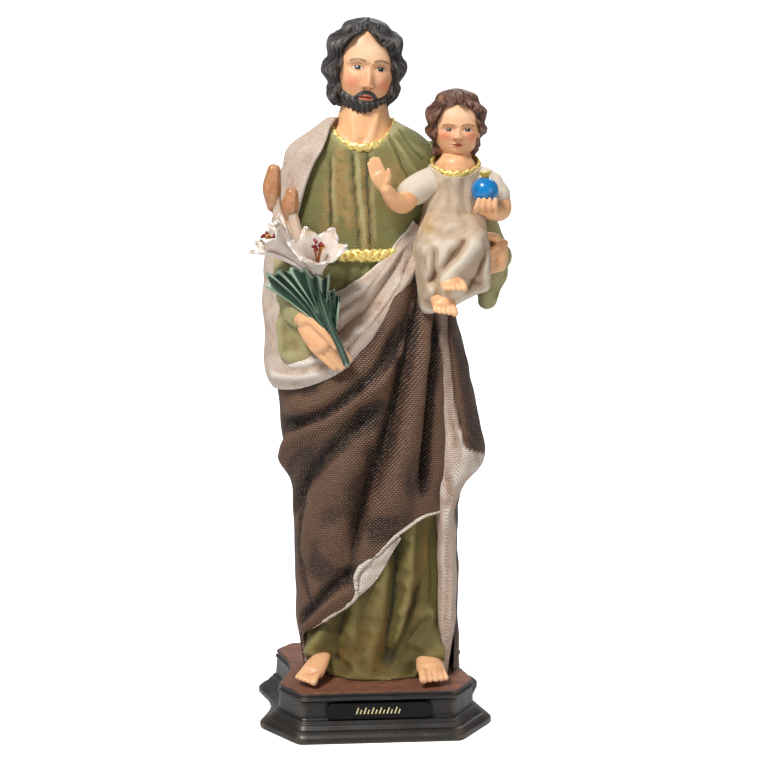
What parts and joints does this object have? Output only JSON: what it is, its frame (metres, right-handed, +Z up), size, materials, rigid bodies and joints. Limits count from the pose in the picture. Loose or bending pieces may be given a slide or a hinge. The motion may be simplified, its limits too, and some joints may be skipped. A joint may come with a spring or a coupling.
{
  "type": "saint statuette with child and lilies",
  "caption": "Standing bearded saint in a draped cloak, holding a child and a spray of lilies, on a moulded plinth with a plate.",
  "frame": {"origin": "centre of the plinth's flat underside, on the surface that the statuette stands on", "axes": "+Z up, -Y towards the viewer in front of the plinth, +X to that viewer's right; the figure is turned 4.5 degrees on its plinth"},
  "size_m": [0.1102, 0.092, 0.3045],
  "materials": {
    "painted_figure": "hand-painted cast resin, cloth-textured and antiqued",
    "translucent_lily": "milky translucent resin with painted leaves",
    "plinth_paint": "satin black-brown paint on cast resin, matt brown top",
    "plate_black": "gloss black plate with gold strokes"
  },
  "bodies": {
    "root": {"figure": "painted_figure", "lily_spray": "translucent_lily", "plinth": "plinth_paint", "nameplate": "plate_black"}
  },
  "joints": []
}
